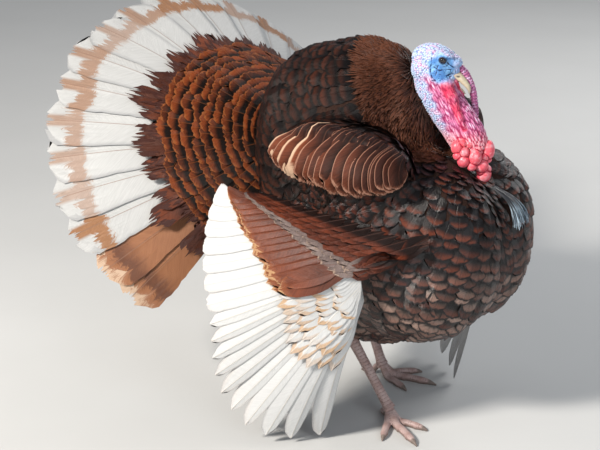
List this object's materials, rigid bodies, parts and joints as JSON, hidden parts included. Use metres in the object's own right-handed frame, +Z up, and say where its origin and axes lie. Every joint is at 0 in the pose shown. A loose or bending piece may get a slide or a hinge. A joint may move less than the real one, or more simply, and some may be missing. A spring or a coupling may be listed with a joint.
{
  "type": "bourbon red turkey",
  "caption": "Life-size standing figure of a strutting bourbon red turkey, tail fanned and wings dropped to the ground, with bare head, snood, wattles and beard.",
  "frame": {"origin": "centre of the bounding box in plan, at floor level under the feet", "axes": "+X the way the bird heads, +Y its left side, +Z up"},
  "size_m": [0.9082, 0.7232, 0.6879],
  "materials": {
    "dark_feather": "dark mahogany body feathers with black edges",
    "rust_feather": "glossy rust brown feathers",
    "white_feather": "white flight and tail feathers with a tan band",
    "bare_skin": "wrinkled pink and white bare skin",
    "head_skin": "warty pale blue bare skin",
    "red_skin": "soft red caruncled skin",
    "horn": "pale horn",
    "eye": "wet dark brown eye",
    "leg_skin": "scaled pinkish grey leg skin",
    "bristle": "coarse dark bristles with pale tips"
  },
  "bodies": {
    "root": {"torso": "dark_feather", "nape": "rust_feather", "throat": "bare_skin", "head": "head_skin", "upper_bill": "horn", "lower_bill": "horn", "eye_right": "eye", "eye_left": "eye", "snood": "red_skin", "wattles": "red_skin", "tail_fan": "white_feather", "tail_coverts": "rust_feather", "beard": "bristle", "flight_right": "white_feather", "flight_left": "white_feather", "wing_coverts_right": "rust_feather", "wing_coverts_left": "rust_feather", "scapulars_right": "rust_feather", "scapulars_left": "rust_feather", "thigh_right": "dark_feather", "thigh_left": "dark_feather", "foot_right": "leg_skin", "foot_left": "leg_skin"}
  },
  "joints": []
}
